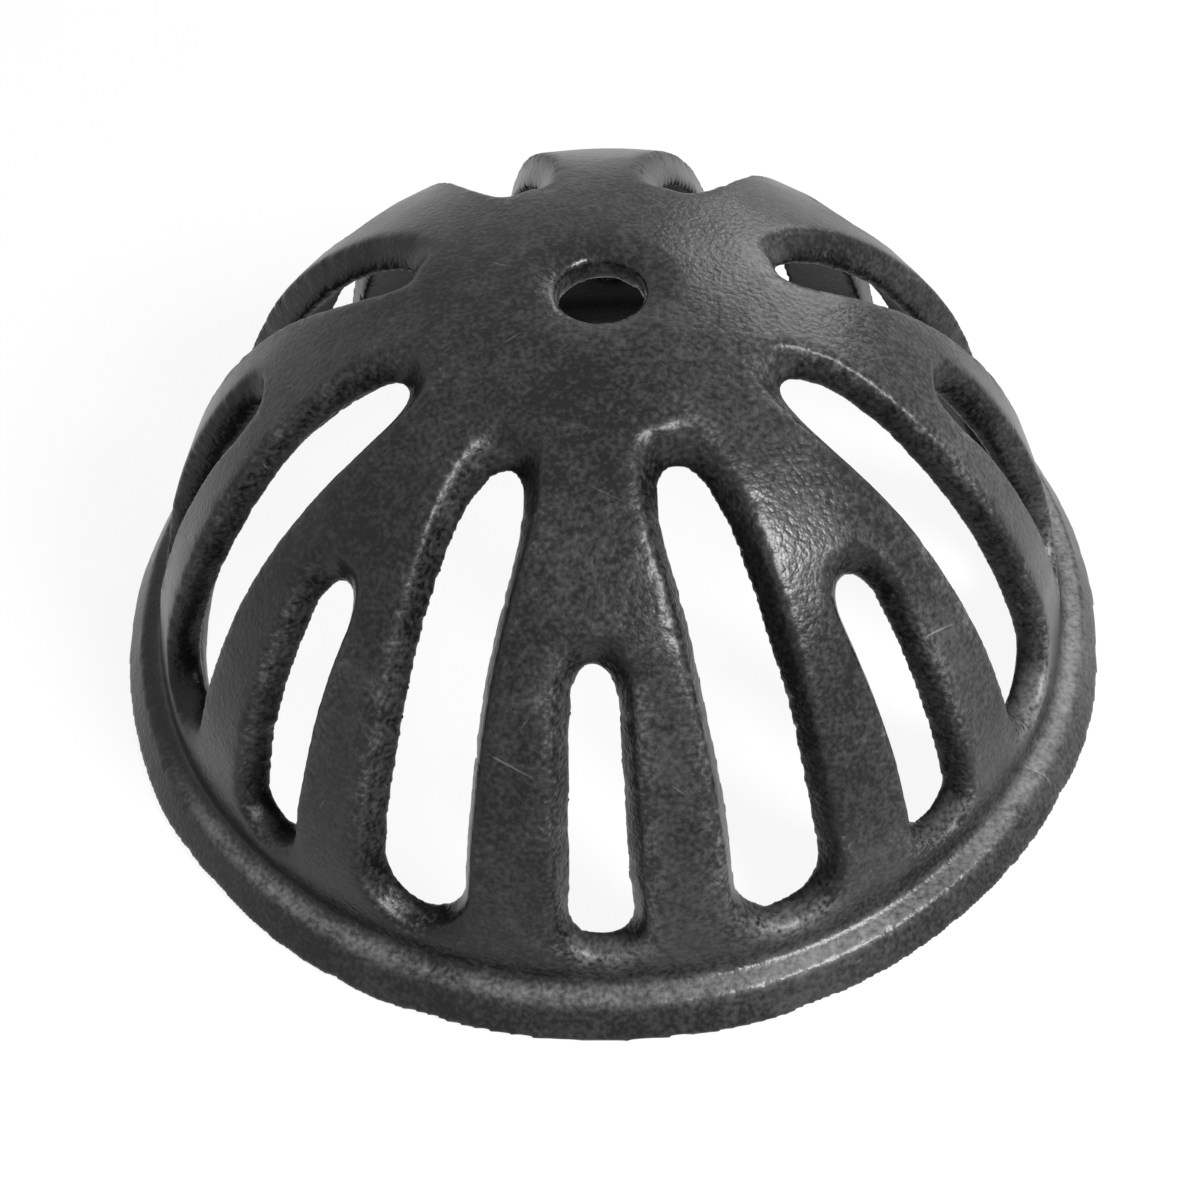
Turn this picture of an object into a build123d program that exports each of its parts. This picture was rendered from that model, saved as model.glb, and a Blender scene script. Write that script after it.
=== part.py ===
from build123d import *
import os
from math import asin, atan2, cos, degrees, radians, sin, sqrt, tan

# Dome strainer of a flat roof drain: one sand-cast iron dome with sixteen slots, a bolt hole in
# its crown and a plain flange to seat it. Z is its axis, the flange's underside is Z = 0 and a
# short slot faces -Y. Millimetres, and degrees for angles.

# Dome: a ball shell of even thickness, with its middle a little above the flange's underside
dome_radius = 93.0
dome_middle_height = 3.0
wall = 6.4

# Flange round the dome's foot
flange_width = 8.67
flange_height = 6.5
flange_lean = 2.4
foot_bevel = 2.6
mouth_draft = 0.8

# Bolt hole in the crown, with a flared rim
bore_diameter = 16.0
rim_diameter = 24.4
rim_angle = 110.0

# Slots, long and short by turns. Their ends are angles from the crown, seen from the ball's middle,
# and their widths are those of the opening in the inner face
slots_of_each_length = 8
sill_angle = 83.0
long_slot_head_angle = 24.8
long_slot_head_width = 10.8
long_slot_foot_width = 18.8
short_slot_head_angle = 45.6
short_slot_head_width = 8.4
short_slot_foot_width = 11.6

# Flare of a slot: how much its edge on the outer face stands back from its opening
flare = 4.0

# Worked out from the sizes above
inner_radius = dome_radius - wall
foot_rise = flange_height - dome_middle_height
foot_radius = sqrt(dome_radius**2 - foot_rise**2)
inner_foot_radius = sqrt(inner_radius**2 - foot_rise**2)
flange_radius = foot_radius + flange_width
rim_height = dome_middle_height + sqrt(dome_radius**2 - (rim_diameter / 2) ** 2)
slot_pitch = 360 / (2 * slots_of_each_length)
overrun = wall / 4
first_slot_angle = -90


def tapered_plug(inner_half, outer_half):
    """Sizes of a cone about a ray of the ball that meets the two faces at angles from that ray.

    The cone is drawn out a little at each end, so that it runs past both faces.
    """
    low = inner_radius * cos(inner_half)
    high = dome_radius * cos(outer_half)
    slope = (dome_radius * sin(outer_half) - inner_radius * sin(inner_half)) / (high - low)
    bottom = low - overrun
    top = dome_radius + overrun
    start = inner_radius * sin(inner_half) - slope * overrun
    return start, start + slope * (top - bottom), bottom, top


def slot_cutter(head_angle, head_width, foot_width):
    """Cutter of one slot about the ball's middle, running down the +X side from head to sill.

    A round plug makes each end, and the head's section swung to either side makes the two walls.
    """
    head_inner = asin(head_width / 2 / inner_radius)
    head_outer = asin((head_width / 2 + flare) / dome_radius)
    widening = asin(foot_width / 2 / inner_radius) - head_inner
    head_tilt = radians(head_angle) + head_inner
    foot_tilt = radians(sill_angle) - head_inner - widening
    reach = foot_tilt - head_tilt
    swing = asin(sin(widening) / sin(reach))
    wall_reach = atan2(sin(reach) * cos(swing), cos(reach))
    with BuildPart() as cutter:
        start, end, bottom, top = tapered_plug(head_inner, head_outer)
        for side in (1, -1):
            turned = Plane.XY.rotated((0, 0, side * degrees(swing)))
            across = Plane(origin=(0, 0, 0), x_dir=turned.y_dir, z_dir=turned.x_dir)
            with BuildSketch(across):
                with BuildLine():
                    Polyline((-start, bottom), (start, bottom), (end, top), (-end, top), close=True)
                make_face()
            revolve(axis=Axis((0, 0, 0), turned.y_dir), revolution_arc=degrees(wall_reach))
        with Locations((0, 0, bottom)):
            Cone(start, end, top - bottom, align=(Align.CENTER, Align.CENTER, Align.MIN))
        start, end, bottom, top = tapered_plug(head_inner + widening, head_outer + widening)
        foot = Plane.XY.rotated((0, degrees(reach), 0))
        with Locations(foot.offset(bottom).location):
            Cone(start, end, top - bottom, align=(Align.CENTER, Align.CENTER, Align.MIN))
    return cutter.part.rotate(Axis.Y, degrees(head_tilt))


long_cutter = slot_cutter(long_slot_head_angle, long_slot_head_width, long_slot_foot_width)
short_cutter = slot_cutter(short_slot_head_angle, short_slot_head_width, short_slot_foot_width)

# One sector of the dome, about +X: a long slot between the halves of two short ones
with BuildPart() as sector:
    # Ball shell above the flange, with its poles and seam outside the sector
    ball = Plane(origin=(0, 0, dome_middle_height), x_dir=(0, 0, -1), z_dir=(0, 1, 0))
    with Locations(ball):
        Sphere(dome_radius)
        Sphere(inner_radius, mode=Mode.SUBTRACT)
    sector_length = 2 * dome_radius
    sector_half_width = sector_length * tan(radians(slot_pitch))
    with BuildSketch(Plane.XY.offset(flange_height)):
        with BuildLine():
            Polyline(
                (0, 0),
                (sector_length, -sector_half_width),
                (sector_length, sector_half_width),
                close=True,
            )
        make_face()
    extrude(amount=sector_length, mode=Mode.INTERSECT)

    # Flange, with a bevel up to the dome and a mouth that opens downwards
    with BuildSketch(Plane.XZ.rotated((0, 0, -slot_pitch))):
        with BuildLine():
            Polyline(
                (inner_foot_radius + mouth_draft, 0),
                (flange_radius, 0),
                (flange_radius - flange_lean, flange_height),
                (foot_radius + foot_bevel, flange_height),
                (foot_radius - foot_bevel, flange_height + 2 * foot_bevel),
                (inner_foot_radius, flange_height),
                close=True,
            )
        make_face()
    revolve(axis=Axis.Z, revolution_arc=2 * slot_pitch)

    # Bolt hole
    with Locations((0, 0, rim_height)):
        CounterSinkHole(bore_diameter / 2, rim_diameter / 2, counter_sink_angle=rim_angle)

    # Slots
    with Locations((0, 0, dome_middle_height)):
        add(long_cutter, mode=Mode.SUBTRACT)
        add(short_cutter.rotate(Axis.Z, slot_pitch), mode=Mode.SUBTRACT)
        add(short_cutter.rotate(Axis.Z, -slot_pitch), mode=Mode.SUBTRACT)

# The whole casting: the sector all round, as one solid
with BuildPart() as dome_strainer:
    with PolarLocations(0, slots_of_each_length, start_angle=first_slot_angle + slot_pitch):
        add(sector.part, clean=False)

dome_strainer.part.label = "dome_strainer"
os.makedirs("parts", exist_ok=True)
export_step(dome_strainer.part, "parts/dome_strainer.step")
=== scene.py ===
"""Dressed model of a sand-cast dome strainer for a flat roof drain, in the frame of its solid."""

import logging
import math
from dataclasses import dataclass
from enum import Enum
from typing import Any, Union

import bpy
from mathutils import Matrix, Vector

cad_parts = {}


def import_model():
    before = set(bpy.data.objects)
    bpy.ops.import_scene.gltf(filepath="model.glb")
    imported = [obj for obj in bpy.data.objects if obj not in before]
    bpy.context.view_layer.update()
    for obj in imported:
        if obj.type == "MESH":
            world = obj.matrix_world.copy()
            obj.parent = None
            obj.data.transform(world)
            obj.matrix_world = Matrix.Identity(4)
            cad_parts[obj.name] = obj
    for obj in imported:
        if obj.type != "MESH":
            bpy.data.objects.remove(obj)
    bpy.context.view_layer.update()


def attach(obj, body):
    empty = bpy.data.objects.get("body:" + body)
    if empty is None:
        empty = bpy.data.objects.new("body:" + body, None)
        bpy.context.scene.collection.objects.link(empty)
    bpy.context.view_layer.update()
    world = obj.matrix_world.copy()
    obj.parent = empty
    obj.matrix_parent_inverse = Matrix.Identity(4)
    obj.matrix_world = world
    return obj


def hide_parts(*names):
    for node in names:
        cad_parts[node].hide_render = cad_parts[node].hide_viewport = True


log = logging.getLogger("dome_strainer")

NODE = "dome_strainer"
MM_PER_M = 1000.0
PHOTO_SIDE = 1200.0
SENSOR_MM = 36.0
MIDDLE_OF_NOISE = 0.5
WHITE = (1.0, 1.0, 1.0, 1.0)

Number = Union["Field", float]
Colour = tuple[float, float, float, float]


class Length(Enum):
    """The two lengths of slot, which alternate round the dome."""

    LONG = "long slot"
    SHORT = "short slot"


@dataclass(frozen=True)
class Field:
    """One number of a node tree that can differ from point to point, with plain arithmetic on it."""

    tree: bpy.types.NodeTree
    socket: bpy.types.NodeSocket

    def apply(self, operation: str, *others: Number, clamp: bool = False) -> "Field":
        """Adds one Math node.

        Args:
            operation: Blender's name of the operation.
            others: Its further operands.
            clamp: Whether the result is kept from 0 to 1.

        Returns:
            The result.
        """
        node = self.tree.nodes.new("ShaderNodeMath")
        node.operation = operation
        node.use_clamp = clamp
        for socket, value in zip(node.inputs, (self, *others)):
            feed(self.tree, socket, value)
        return Field(self.tree, node.outputs[0])

    def __add__(self, other: Number) -> "Field":
        """Sum."""
        return self.apply("ADD", other)

    __radd__ = __add__

    def __sub__(self, other: Number) -> "Field":
        """Difference."""
        return self.apply("SUBTRACT", other)

    def __rsub__(self, other: Number) -> "Field":
        """Difference from a plain number."""
        return self.apply("MULTIPLY_ADD", -1.0, other)

    def __mul__(self, other: Number) -> "Field":
        """Product."""
        return self.apply("MULTIPLY", other)

    __rmul__ = __mul__

    def __truediv__(self, other: Number) -> "Field":
        """Quotient."""
        return self.apply("DIVIDE", other)

    def __neg__(self) -> "Field":
        """The number with its sign turned."""
        return self.apply("MULTIPLY", -1.0)

    def __abs__(self) -> "Field":
        """Size without sign."""
        return self.apply("ABSOLUTE")

    def larger(self, other: Number) -> "Field":
        """The larger of two."""
        return self.apply("MAXIMUM", other)

    def joined(self, other: Number, radius: Number) -> "Field":
        """Union of two distances, with a fillet of about a radius where they meet."""
        return self.apply("SMOOTH_MIN", other, radius)

    def common(self, other: Number, radius: Number) -> "Field":
        """Intersection of two distances, with its edge rounded."""
        return self.apply("SMOOTH_MAX", other, radius)

    def bell(self, width: float) -> "Field":
        """1 where the number is 0, falling off smoothly on both sides."""
        scaled = self / width
        return (scaled * scaled * -1.0).apply("EXPONENT")


def feed(tree: bpy.types.NodeTree, socket: bpy.types.NodeSocket, value: Any) -> None:
    """Links a field or a socket to an input, or sets a plain value on it.

    Args:
        tree: The tree that holds the input.
        socket: The input.
        value: A Field, an output socket or a plain value.
    """
    if isinstance(value, Field):
        tree.links.new(value.socket, socket)
    elif isinstance(value, bpy.types.NodeSocket):
        tree.links.new(value, socket)
    else:
        socket.default_value = value


def add_node(tree: bpy.types.NodeTree, kind: str, **values: Any) -> bpy.types.Node:
    """Adds a node and fills its inputs.

    Args:
        tree: The tree to add to.
        kind: Blender's name of the node type.
        values: Input names, with underscores for spaces, and their values.

    Returns:
        The node.
    """
    node = tree.nodes.new(kind)
    for name, value in values.items():
        feed(tree, node.inputs[name.replace("_", " ")], value)
    return node


def hypotenuse(a: Field, b: Field) -> Field:
    """Length of a vector from its two parts."""
    return (a * a + b * b).apply("SQRT")


def noise(tree: bpy.types.NodeTree, place: bpy.types.NodeSocket, per_mm: float, detail: float) -> Field:
    """Adds a noise of a given fineness.

    Args:
        tree: The tree to add to.
        place: Where the noise is read.
        per_mm: How many waves it has in a millimetre.
        detail: How many finer octaves it has.

    Returns:
        The noise, from 0 to 1.
    """
    node = add_node(tree, "ShaderNodeTexNoise", Vector=place, Scale=per_mm * MM_PER_M, Detail=detail)
    return Field(tree, node.outputs[0])


def attribute(tree: bpy.types.NodeTree, name: str) -> Field:
    """Adds a reader of a number stored on the mesh.

    Args:
        tree: The tree to add to.
        name: The attribute's name.

    Returns:
        The number.
    """
    node = tree.nodes.new("ShaderNodeAttribute")
    node.attribute_name = name
    return Field(tree, node.outputs["Fac"])


def in_view(tree: bpy.types.NodeTree) -> Field:
    """Adds a test of what a ray is for.

    Args:
        tree: The tree to add to.

    Returns:
        1 for rays that show a thing straight, mirrored or through glass, and 0 for rays that light by it.
    """
    path = tree.nodes.new("ShaderNodeLightPath")
    mirrored = Field(tree, path.outputs["Is Glossy Ray"]) + Field(tree, path.outputs["Is Transmission Ray"])
    return mirrored.apply("ADD", Field(tree, path.outputs["Is Camera Ray"]), clamp=True)


@dataclass(frozen=True)
class Slot:
    """Outline of one kind of slot on the inner face. Lengths are in millimetres, of arc from the crown."""

    length: Length
    head: float
    head_length: float
    half_width: float
    foot_half_width: float
    foot_corner: float
    first_angle: float


@dataclass(frozen=True)
class Rub:
    """How far a coat is worn off a place, and on ledges lightened partly as a painted highlight, from the
    slow and the fine noise there.
    """

    cloud: float
    speck: float
    start: float

    def amount(self, cloud: Field, speck: Field) -> Field:
        """Share of the coat that is gone."""
        return cloud * self.cloud + speck * self.speck - self.start


@dataclass(frozen=True)
class SandCastIron:
    """Black coated iron with the grain of the sand that it was cast in. Waves are per millimetre."""

    name: str = "sand_cast_black_iron"
    dark: Colour = (0.002, 0.002, 0.0022, 1.0)
    light: Colour = (0.038, 0.038, 0.039, 1.0)
    # Light grey of worn slot edges, and of the ledges, where it is partly wear and partly a painted
    # highlight.
    worn_and_highlight: Colour = (0.19, 0.19, 0.188, 1.0)
    grain: float = 1.05
    grain_detail: float = 1.0
    grain_contrast: float = 1.8
    mottle: float = 0.28
    mottle_detail: float = 2.0
    mottle_contrast: float = 1.0
    cloud: float = 0.028
    cloud_detail: float = 3.0
    cloud_contrast: float = 1.8
    base_tone: float = 0.32
    pits: float = 0.33
    pit_reach: float = 0.5
    relief_of_grain: float = 0.70
    relief_of_mottle: float = 0.10
    relief_of_pits: float = 0.2
    relief_depth_m: float = 0.00017
    edge_rub: Rub = Rub(2.0, 0.7, 1.2)
    ledge_rub_and_highlight: Rub = Rub(1.2, 0.5, 0.15)
    roughness_low: float = 0.24
    roughness_spread: float = 0.12
    worn_roughness: float = 0.12
    specular_level: float = 0.28
    # Painted shade: how far the coat is darkened on the inner face of the dome.
    inside_painted_shade: float = 0.8
    scratch_turns: tuple[float, ...] = (0.7, -0.4)
    scratch_tilts: tuple[float, float] = (0.2, 0.3)
    scratch_size_mm: tuple[float, float, float] = (20.0, 0.7, 4.0)
    scratch_start: float = 0.84
    scratch_strength: float = 9.0

    def material(self) -> bpy.types.Material:
        """Builds the material.

        Returns:
            The material, on Object coordinates and the casting's own attributes.
        """
        material = bpy.data.materials.new(self.name)
        material.use_nodes = True
        tree = material.node_tree
        shader = tree.nodes["Principled BSDF"]
        place = tree.nodes.new("ShaderNodeTexCoord").outputs["Object"]
        grain = noise(tree, place, self.grain, self.grain_detail)
        mottle = noise(tree, place, self.mottle, self.mottle_detail)
        cloud = noise(tree, place, self.cloud, self.cloud_detail)
        edge = attribute(tree, "edge_wear")
        ledge = attribute(tree, "ledge_wear_and_highlight")
        # Painted shade: the coat's tone and its specular level are cut towards the inner face of the dome,
        # the hollow where shade falls.
        painted_shade_factor = 1.0 - attribute(tree, "inside") * self.inside_painted_shade

        fine = (grain - MIDDLE_OF_NOISE) * self.grain_contrast
        speck = fine + (mottle - MIDDLE_OF_NOISE) * self.mottle_contrast
        tone = speck + (cloud - MIDDLE_OF_NOISE) * self.cloud_contrast
        tone = tone.apply("ADD", self.base_tone, clamp=True) * painted_shade_factor
        coat = self.blend(tree, tone, self.dark, self.light)
        # Slot edges get wear; the flange ledge and the sills below the slots are lightened partly by wear
        # and partly as a painted highlight, where they face up to the light.
        rub_and_highlight = edge * self.edge_rub.amount(cloud, speck) + ledge * self.ledge_rub_and_highlight.amount(cloud, speck)
        rub_and_highlight = rub_and_highlight.apply("ADD", self.scratches(tree, place, cloud), clamp=True)
        feed(tree, shader.inputs["Base Color"], self.blend(tree, rub_and_highlight, coat, self.worn_and_highlight))

        rough = grain * self.roughness_spread + (edge + ledge) * self.worn_roughness + self.roughness_low
        feed(tree, shader.inputs["Roughness"], rough)
        feed(tree, shader.inputs["Specular IOR Level"], painted_shade_factor * self.specular_level)
        feed(tree, shader.inputs["Normal"], self.relief(tree, place, grain, mottle))
        return material

    def relief(
        self, tree: bpy.types.NodeTree, place: bpy.types.NodeSocket, grain: Field, mottle: Field
    ) -> bpy.types.NodeSocket:
        """Adds the fine relief that the sand left.

        Args:
            tree: The tree to add to.
            place: Where the pits are read.
            grain: Fine noise.
            mottle: Coarser noise.

        Returns:
            The socket with the surface's normal.
        """
        cells = add_node(tree, "ShaderNodeTexVoronoi", Vector=place, Scale=self.pits * MM_PER_M)
        pits = Field(tree, cells.outputs["Distance"]).apply("MINIMUM", self.pit_reach)
        height = grain * self.relief_of_grain + mottle * self.relief_of_mottle + pits * self.relief_of_pits
        bump = add_node(tree, "ShaderNodeBump", Strength=1.0, Distance=self.relief_depth_m, Height=height)
        return bump.outputs["Normal"]

    def scratches(self, tree: bpy.types.NodeTree, place: bpy.types.NodeSocket, cloud: Field) -> Field:
        """Adds a few short light scratches in two directions.

        Args:
            tree: The tree to add to.
            place: Where they are read.
            cloud: Slow noise that gathers them in patches.

        Returns:
            How much of the coat is scratched off, from 0 up.
        """
        found: Number = 0.0
        for turn in self.scratch_turns:
            slewed = add_node(
                tree, "ShaderNodeMapping", Vector=place,
                Rotation=(*self.scratch_tilts, turn), Scale=self.scratch_size_mm,
            )
            slewed.vector_type = "TEXTURE"
            streak = noise(tree, slewed.outputs[0], 1.0, 0.0)
            bare = (streak - self.scratch_start) * self.scratch_strength
            found = bare.apply("MULTIPLY", cloud, clamp=True) + found
        return found

    @staticmethod
    def blend(tree: bpy.types.NodeTree, share: Field, first: Any, second: Any) -> bpy.types.NodeSocket:
        """Mixes two colours.

        Args:
            tree: The tree to add to.
            share: How much of the second there is.
            first: The first colour, or a socket with it.
            second: The second colour, or a socket with it.

        Returns:
            The socket with the mixed colour.
        """
        node = tree.nodes.new("ShaderNodeMix")
        node.data_type = "RGBA"
        factor, colour_a, colour_b = (socket for socket in node.inputs if socket.enabled)
        feed(tree, factor, share)
        feed(tree, colour_a, first)
        feed(tree, colour_b, second)
        return next(socket for socket in node.outputs if socket.enabled)


@dataclass(frozen=True)
class WearAndHighlightReach:
    """How far wear, and on the ledges and sills a painted highlight, reaches from the places that it marks,
    in millimetres.
    """

    edge_depth: float = 1.6
    edge_side: float = 1.8
    ledge_height: float = 1.2
    ledge_inset: float = 1.8
    ledge_side: float = 2.2
    sill_drop: float = 0.5
    sill_along: float = 3.4
    sill_share: float = 0.6
    sill_side: float = 2.2
    sill_depth: float = 4.0


@dataclass
class Casting:
    """The one-piece casting: slotted dome, flange and bolt hole. Lengths are in millimetres."""

    dome_radius: float = 93.0
    crown_dip: float = 0.53
    crown_waves: float = 4.0
    shoulder_fullness: float = 0.70
    shoulder_waves: float = 6.0
    middle_height: float = 3.2
    wall: float = 7.0
    flange_radius: float = 102.15
    flange_height: float = 7.4
    flange_lean: float = 4.6
    flange_dish: float = 0.08
    flange_roundness: float = 0.8
    foot_fillet: float = 4.5
    foot_radius: float = 85.4
    seat_edge: float = 1.6
    bore_radius: float = 8.0
    bore_offset: float = 1.5
    bore_edge: float = 0.6
    bore_edge_gain: float = 0.4
    rim_radius: float = 12.2
    rim_height: float = 94.3
    rim_slope: float = 15.0
    rim_edge: float = 1.6
    sill: float = 133.8
    flare: float = 3.9
    upward_shift: float = 2.6
    draw_lean: float = 3.2
    draw_power: float = 3.0
    outer_edge: float = 0.5
    inner_edge: float = 2.0
    least_across: float = 0.01
    swell_per_mm: float = 0.035
    swell_detail: float = 1.0
    swell_height: float = 0.9
    grain_per_mm: float = 0.22
    grain_detail: float = 0.0
    grain_height: float = 0.15
    inside_start: float = 1.15
    inside_slope: float = 2.3
    slots_of_each_length: int = 8
    voxel: float = 0.7
    voxels_of_margin: int = 3
    grid_top: float = 100.0
    density_slope: float = -0.2
    density_of_skin: float = 0.5
    adaptivity: float = 0.02
    rounds_of_evening: int = 3
    rounds_of_settling: int = 2
    wear: WearAndHighlightReach = WearAndHighlightReach()
    slots: tuple[Slot, ...] = (
        Slot(Length.SHORT, 74.8, 8.0, 3.5, 5.1, 5.6, -90.0),
        Slot(Length.LONG, 41.0, 20.0, 5.6, 7.9, 9.4, -67.5),
    )

    def build(self, material: bpy.types.Material) -> bpy.types.Object:
        """Makes the casting's mesh.

        Args:
            material: Its finish.

        Returns:
            The object, with its place in its mesh.
        """
        piece = bpy.data.objects.new("strainer_casting", bpy.data.meshes.new("strainer_casting"))
        bpy.context.scene.collection.objects.link(piece)
        tree, values = self.tree(material)
        modifier = piece.modifiers.new("casting", "NODES")
        modifier.node_group = tree
        for identifier, value in values.items():
            modifier[identifier] = value
        graph = bpy.context.evaluated_depsgraph_get()
        made = bpy.data.meshes.new_from_object(
            piece.evaluated_get(graph), preserve_all_data_layers=True, depsgraph=graph
        )
        piece.modifiers.clear()
        piece.data = made
        return piece

    def tree(self, material: bpy.types.Material) -> tuple[bpy.types.NodeTree, dict[str, float]]:
        """Builds the tree that casts the piece from its distance field.

        Args:
            material: The finish to set at the end.

        Returns:
            The tree, and the values of its inputs by identifier.
        """
        tree = bpy.data.node_groups.new("casting", "GeometryNodeTree")
        tree.interface.new_socket("Geometry", in_out="OUTPUT", socket_type="NodeSocketGeometry")
        names = ("wall", "flare", "upward_shift", "draw_lean", "outer_edge", "inner_edge", "foot_fillet")
        values: dict[str, float] = {}
        for name in names:
            socket = tree.interface.new_socket(name, in_out="INPUT", socket_type="NodeSocketFloat")
            values[socket.identifier] = getattr(self, name)
        group_in = tree.nodes.new("NodeGroupInput")
        sizes = {name: Field(tree, group_in.outputs[name]) for name in names}
        body, marks = self.solid(tree, sizes)

        made = self.settled(tree, self.skin(tree, body), body)
        for name, amount in marks.items():
            store = add_node(tree, "GeometryNodeStoreNamedAttribute", Geometry=made, Name=name, Value=amount)
            made = store.outputs[0]
        smooth = add_node(tree, "GeometryNodeSetShadeSmooth", Geometry=made)
        real = add_node(tree, "GeometryNodeRealizeInstances", Geometry=smooth.outputs[0])
        dressed = add_node(tree, "GeometryNodeSetMaterial", Geometry=real.outputs[0], Material=material)
        group_out = tree.nodes.new("NodeGroupOutput")
        tree.links.new(dressed.outputs[0], group_out.inputs[0])
        return tree, values

    def skin(self, tree: bpy.types.NodeTree, body: Field) -> bpy.types.NodeSocket:
        """Meshes the surface on a grid of voxels.

        Args:
            tree: The tree to add to.
            body: Distance from the surface in millimetres.

        Returns:
            The mesh.
        """
        margin = self.voxels_of_margin * self.voxel
        reach = self.flange_radius + margin
        low = Vector((-reach, -reach, -margin))
        high = Vector((reach, reach, self.grid_top))
        count = [round(side / self.voxel) for side in high - low]
        block = add_node(
            tree, "GeometryNodeVolumeCube",
            Density=(body * self.density_slope).apply("ADD", self.density_of_skin, clamp=True),
            Min=low / MM_PER_M, Max=high / MM_PER_M,
            Resolution_X=count[0], Resolution_Y=count[1], Resolution_Z=count[2],
        )
        skin = add_node(
            tree, "GeometryNodeVolumeToMesh",
            Volume=block.outputs[0], Threshold=self.density_of_skin, Adaptivity=self.adaptivity,
        )
        return skin.outputs[0]

    def settled(
        self, tree: bpy.types.NodeTree, skin: bpy.types.NodeSocket, body: Field
    ) -> bpy.types.NodeSocket:
        """Evens out the mesh of the grid, brings it back to the surface, and evens it once more.

        Args:
            tree: The tree to add to.
            skin: The mesh.
            body: Distance from the surface in millimetres.

        Returns:
            The mesh, settled, with nothing below the ground.
        """
        skin = self.evened(tree, skin)
        normal = tree.nodes.new("GeometryNodeInputNormal").outputs[0]
        for _ in range(self.rounds_of_settling):
            step = tree.nodes.new("ShaderNodeVectorMath")
            step.operation = "SCALE"
            feed(tree, step.inputs[0], normal)
            feed(tree, step.inputs["Scale"], body.larger(-self.voxel) * (-1.0 / MM_PER_M))
            moved = add_node(tree, "GeometryNodeSetPosition", Geometry=skin, Offset=step.outputs[0])
            skin = moved.outputs[0]
        skin = self.evened(tree, skin)
        place = tree.nodes.new("GeometryNodeInputPosition").outputs[0]
        x, y, z = add_node(tree, "ShaderNodeSeparateXYZ", Vector=place).outputs
        above = add_node(tree, "ShaderNodeCombineXYZ", X=x, Y=y, Z=Field(tree, z).larger(0.0))
        seated = add_node(tree, "GeometryNodeSetPosition", Geometry=skin, Position=above.outputs[0])
        return seated.outputs[0]

    def evened(self, tree: bpy.types.NodeTree, skin: bpy.types.NodeSocket) -> bpy.types.NodeSocket:
        """Moves each point of a mesh towards the middle of its neighbours, a few times.

        Args:
            tree: The tree to add to.
            skin: The mesh.

        Returns:
            The mesh, evened out.
        """
        blur = tree.nodes.new("GeometryNodeBlurAttribute")
        blur.data_type = "FLOAT_VECTOR"
        place = tree.nodes.new("GeometryNodeInputPosition").outputs[0]
        value = next(socket for socket in blur.inputs if socket.enabled and socket.type == "VECTOR")
        feed(tree, value, place)
        feed(tree, blur.inputs["Iterations"], self.rounds_of_evening)
        even = next(socket for socket in blur.outputs if socket.enabled)
        return add_node(tree, "GeometryNodeSetPosition", Geometry=skin, Position=even).outputs[0]

    def solid(self, tree: bpy.types.NodeTree, sizes: dict[str, Field]) -> tuple[Field, dict[str, Field]]:
        """Distance from the casting's surface, and the marks that its finish reads.

        Args:
            tree: The tree to add to.
            sizes: The tree's named inputs.

        Returns:
            The distance in millimetres, below 0 inside, and the nearness of slot edges, of ledges and of
            the inner face by name, from 0 up to about 1.
        """
        place = tree.nodes.new("GeometryNodeInputPosition").outputs[0]
        parts = add_node(tree, "ShaderNodeSeparateXYZ", Vector=place)
        x, y, z = (Field(tree, socket) * MM_PER_M for socket in parts.outputs)
        radius = hypotenuse(x, y)
        rise = z - self.middle_height
        from_middle = hypotenuse(radius, rise)
        tilt = radius.apply("ARCTAN2", rise)
        outer_radius = (
            (tilt * self.crown_waves).apply("COSINE") * -self.crown_dip
            + (tilt * self.shoulder_waves).apply("COSINE") * -self.shoulder_fullness
            + self.dome_radius
        )
        outside = from_middle - outer_radius
        depth = (outside + sizes["wall"]) / sizes["wall"]
        shell = outside.larger(-outside - sizes["wall"])

        lean = math.atan2(self.flange_lean, self.flange_height)
        rim = (radius - self.flange_radius + z * math.tan(lean)) * math.cos(lean)
        ridge = self.flange_radius - self.flange_lean
        top = z - self.flange_height - (radius - ridge) * self.flange_dish
        flange = rim.common(top, self.flange_roundness)
        flange = flange.larger(self.foot_radius - radius)
        body = shell.joined(flange, sizes["foot_fillet"])

        slope = math.radians(self.rim_slope)
        from_bore = hypotenuse(x - self.bore_offset, y)
        dish = (from_bore - self.rim_radius) * math.tan(slope) + self.rim_height - z
        body = body.common(-(dish * math.cos(slope)), self.rim_edge)
        share = depth.apply("ADD", 0.0, clamp=True)
        body = body.common(self.bore_radius - from_bore, share * self.bore_edge_gain + self.bore_edge)

        wear = self.wear
        azimuth = y.apply("ARCTAN2", x)
        edge: Number = 0.0
        # Ledge mark on the flange top and on the sills below the slots: partly wear, partly a painted
        # highlight where these faces turn up to the light.
        ledge = top.bell(wear.ledge_height) * (radius - ridge + wear.ledge_inset).bell(wear.ledge_side)
        below_sill = tilt * self.dome_radius - self.sill - wear.sill_drop
        sill = below_sill.bell(wear.sill_along) * wear.sill_share
        slot_edge = sizes["inner_edge"] + (sizes["outer_edge"] - sizes["inner_edge"]) * share
        for slot in self.slots:
            opening = self.opening(slot, sizes, azimuth, radius, tilt, depth)
            body = body.common(-opening, slot_edge)
            edge = outside.bell(wear.edge_depth) * opening.bell(wear.edge_side) + edge
            ledge = sill * opening.bell(wear.sill_side) * outside.bell(wear.sill_depth) + ledge
        body = body.common(-z, self.seat_edge)
        swell = noise(tree, place, self.swell_per_mm, self.swell_detail) - MIDDLE_OF_NOISE
        grain = noise(tree, place, self.grain_per_mm, self.grain_detail) - MIDDLE_OF_NOISE
        # Nearness of the inner face, which the finish darkens as painted shade.
        inside = (self.inside_start - depth * self.inside_slope).apply("MULTIPLY", 1.0, clamp=True)
        marks = {"edge_wear": edge, "ledge_wear_and_highlight": ledge, "inside": inside}
        return body + swell * self.swell_height + grain * self.grain_height, marks

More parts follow.
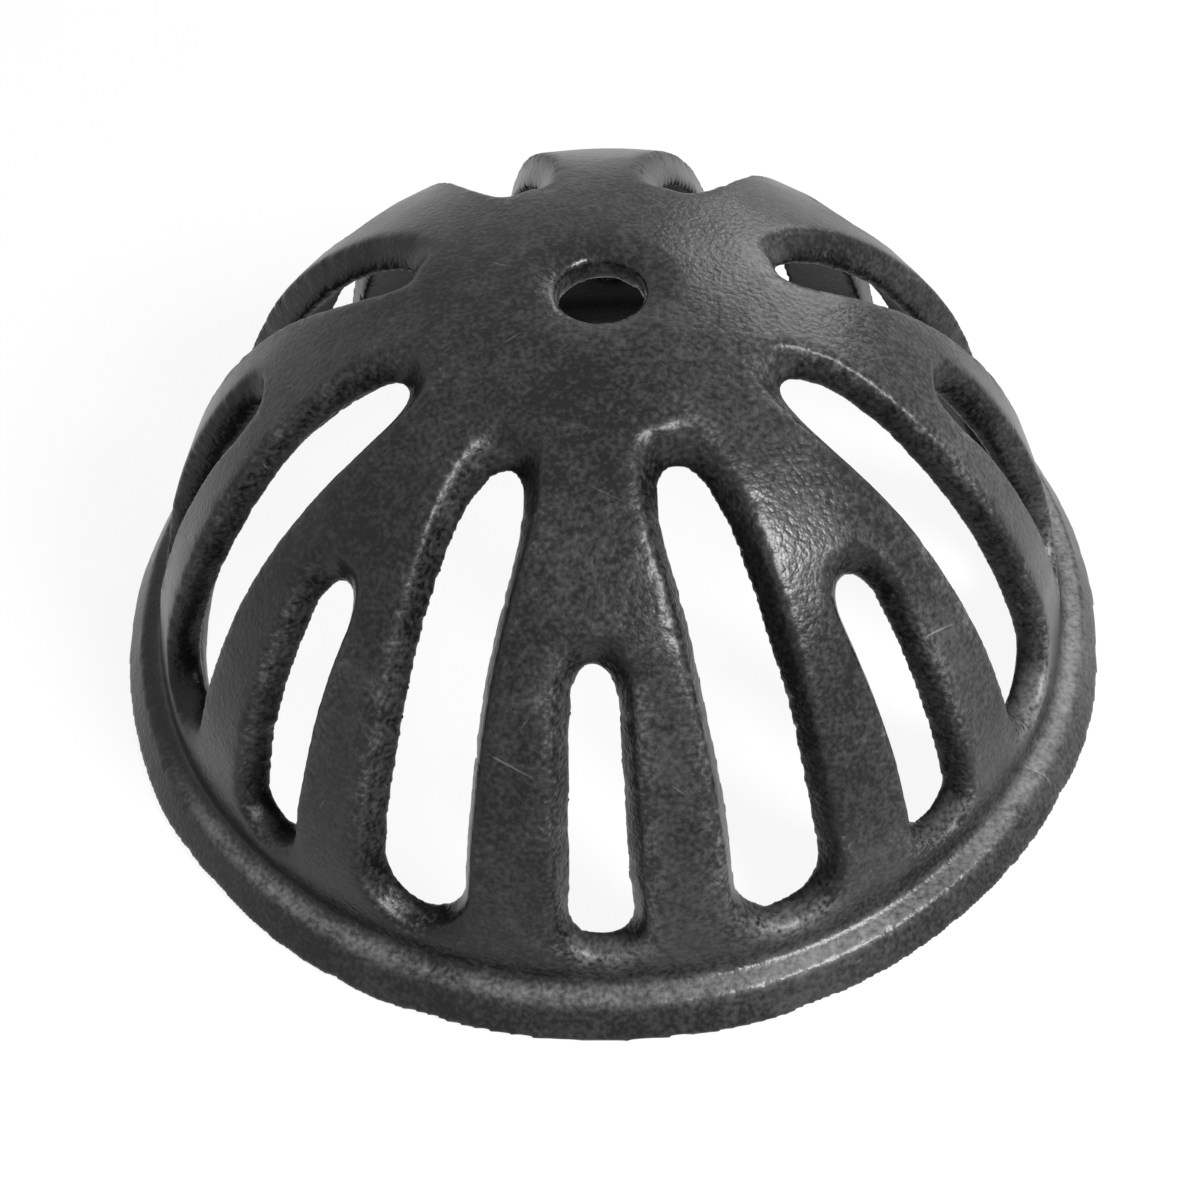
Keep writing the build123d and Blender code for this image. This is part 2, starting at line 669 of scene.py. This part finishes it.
    def opening(
        self, slot: Slot, sizes: dict[str, Field], azimuth: Field, radius: Field, tilt: Field, depth: Field
    ) -> Field:
        """Distance from the walls of all slots of one kind, below 0 in the slots.

        Args:
            slot: The kind of slot.
            sizes: The tree's named inputs.
            azimuth: Angle round the axis.
            radius: Distance from the axis.
            tilt: Angle from the crown.
            depth: 0 on the inner face of the dome and 1 on the outer one.

        Returns:
            The distance in millimetres.
        """
        pitch = 2 * math.pi / self.slots_of_each_length
        turn = azimuth - math.radians(slot.first_angle)
        turn = turn.apply("WRAP", pitch / 2, -pitch / 2)
        sideways = azimuth.apply("COSINE").apply("POWER", self.draw_power)
        lean = sizes["draw_lean"] * depth * sideways
        across = abs(radius * turn.apply("SINE") + lean) + self.least_across
        along = tilt * self.dome_radius + sizes["upward_shift"] * depth
        below_head = along - slot.head - slot.head_length
        taper = (slot.foot_half_width - slot.half_width) / (self.sill - slot.head - slot.head_length)
        half_width = below_head.larger(0.0) * taper + slot.half_width
        above = (-below_head).larger(0.0) / slot.head_length
        reach = hypotenuse(across / half_width, above)
        steepness = hypotenuse(across / half_width / half_width, above / slot.head_length)
        beside = reach * (reach - 1.0) / steepness + slot.foot_corner
        beyond = along - (self.sill - slot.foot_corner)
        corner = hypotenuse(beside.larger(0.0), beyond.larger(0.0))
        outline = corner + beside.larger(beyond).apply("MINIMUM", 0.0) - slot.foot_corner
        slant = math.hypot(1.0, self.flare / self.wall)
        return (outline - sizes["flare"] * depth) / slant


@dataclass(frozen=True)
class PhotoCamera:
    """Camera at the photograph's viewing angle. Lengths are in metres and angles in radians."""

    elevation: float = 0.8993
    distance: float = 0.48895
    aim_height: float = 0.04064
    pan: float = -0.0042
    tilt: float = -0.0499
    roll: float = -0.0564
    turn: float = 0.0571
    focal_px: float = 2313.4

    def build(self) -> bpy.types.Object:
        """Makes the camera and gives it to the scene.

        Returns:
            The camera.
        """
        data = bpy.data.cameras.new("photo_camera")
        data.sensor_width = SENSOR_MM
        data.lens = self.focal_px / PHOTO_SIDE * SENSOR_MM
        camera = bpy.data.objects.new("photo_camera", data)
        place = Vector((0.0, -math.cos(self.elevation), math.sin(self.elevation))) * self.distance
        ahead = (Vector((0.0, 0.0, self.aim_height)) - place).normalized()
        right = ahead.cross(Vector((0.0, 0.0, 1.0))).normalized()
        up = right.cross(ahead)
        ahead, right = self.spun(ahead, right, self.pan)
        ahead, up = self.spun(ahead, up, self.tilt)
        right, up = self.spun(right, up, self.roll)
        facing = Matrix((right, up, -ahead)).transposed().to_4x4()
        camera.matrix_world = Matrix.Rotation(self.turn, 4, "Z") @ Matrix.Translation(place) @ facing
        bpy.context.scene.collection.objects.link(camera)
        bpy.context.scene.camera = camera
        return camera

    @staticmethod
    def spun(first: Vector, second: Vector, angle: float) -> tuple[Vector, Vector]:
        """Turns two square directions in their own plane.

        Args:
            first: The direction that moves towards the second.
            second: The other direction.
            angle: How far they turn.

        Returns:
            The two directions after the turn.
        """
        cosine, sine = math.cos(angle), math.sin(angle)
        return first * cosine + second * sine, second * cosine - first * sine


@dataclass(frozen=True)
class Lamp:
    """One soft area light, aimed at the dome. Lengths are in metres and power in watts."""

    name: str
    place: tuple[float, float, float]
    side: float
    power: float
    aim_height: float = 0.05

    def build(self) -> bpy.types.Object:
        """Makes the light.

        Returns:
            The light.
        """
        data = bpy.data.lights.new(self.name, "AREA")
        data.size = self.side
        data.energy = self.power
        lamp = bpy.data.objects.new(self.name, data)
        lamp.location = self.place
        aim = Vector((0.0, 0.0, self.aim_height)) - Vector(self.place)
        lamp.rotation_euler = aim.to_track_quat("-Z", "Y").to_euler()
        bpy.context.scene.collection.objects.link(lamp)
        return lamp


@dataclass
class Studio:
    """Pale floor, plain soft light and a white background. Lengths are in metres."""

    floor_half_side: float = 6.0
    floor_drop: float = 0.0002
    floor_dull: Colour = (0.03, 0.03, 0.03, 1.0)
    floor_pale: Colour = (0.90, 0.90, 0.90, 1.0)
    ambient: float = 0.010
    shadow_share: float = 0.08
    lamps: tuple[Lamp, ...] = (
        Lamp("key_light", (0.56, -0.45, 0.74), 0.30, 20.0),
        Lamp("back_light", (0.42, 0.76, 0.50), 0.45, 3.4),
    )

    def build(self) -> None:
        """Makes the floor, the world and the lamps."""
        half = self.floor_half_side
        corners = [(-half, -half, 0), (half, -half, 0), (half, half, 0), (-half, half, 0)]
        mesh = bpy.data.meshes.new("floor")
        mesh.from_pydata(corners, [], [(0, 1, 2, 3)])
        floor = bpy.data.objects.new("floor", mesh)
        floor.location.z = -self.floor_drop
        mesh.materials.append(self.floor_finish())
        bpy.context.scene.collection.objects.link(floor)
        self.sky()
        for lamp in self.lamps:
            lamp.build()

    def floor_finish(self) -> bpy.types.Material:
        """White floor with a faint shadow where it is seen, and dull where it lights the object.

        Returns:
            The material.
        """
        material = bpy.data.materials.new("pale_floor")
        material.use_nodes = True
        tree = material.node_tree
        tree.nodes.clear()
        dull = add_node(tree, "ShaderNodeBsdfDiffuse", Color=self.floor_dull)
        pale = add_node(tree, "ShaderNodeBsdfDiffuse", Color=self.floor_pale)
        white = add_node(tree, "ShaderNodeEmission", Color=WHITE)
        shown = self.mixed(tree, self.shadow_share, white, pale)
        mix = self.mixed(tree, in_view(tree), dull, shown)
        out = tree.nodes.new("ShaderNodeOutputMaterial")
        tree.links.new(mix.outputs[0], out.inputs[0])
        return material

    @staticmethod
    def mixed(
        tree: bpy.types.NodeTree, share: Number, first: bpy.types.Node, second: bpy.types.Node
    ) -> bpy.types.Node:
        """Mixes two shaders.

        Args:
            tree: The tree to add to.
            share: How much of the second there is.
            first: The first shader.
            second: The second shader.

        Returns:
            The node with the mixed shader.
        """
        mix = tree.nodes.new("ShaderNodeMixShader")
        factor, shader_a, shader_b = mix.inputs
        feed(tree, factor, share)
        feed(tree, shader_a, first.outputs[0])
        feed(tree, shader_b, second.outputs[0])
        return mix

    def sky(self) -> None:
        """White where it is seen, and dim where it lights the object."""
        world = bpy.data.worlds.new("studio")
        world.use_nodes = True
        tree = world.node_tree
        ground = tree.nodes["Background"]
        feed(tree, ground.inputs["Color"], WHITE)
        feed(tree, ground.inputs["Strength"], in_view(tree) * (1.0 - self.ambient) + self.ambient)
        bpy.context.scene.world = world


def main() -> None:
    """Loads the frame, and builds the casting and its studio."""
    logging.basicConfig(level=logging.INFO)
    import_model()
    bpy.context.scene.view_settings.view_transform = "Standard"
    casting = Casting()
    piece = casting.build(SandCastIron().material())
    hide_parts(NODE)
    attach(piece, "root")
    log.info("%s: %d faces", piece.name, len(piece.data.polygons))
    PhotoCamera().build()
    Studio().build()


if __name__ == "__main__":
    main()
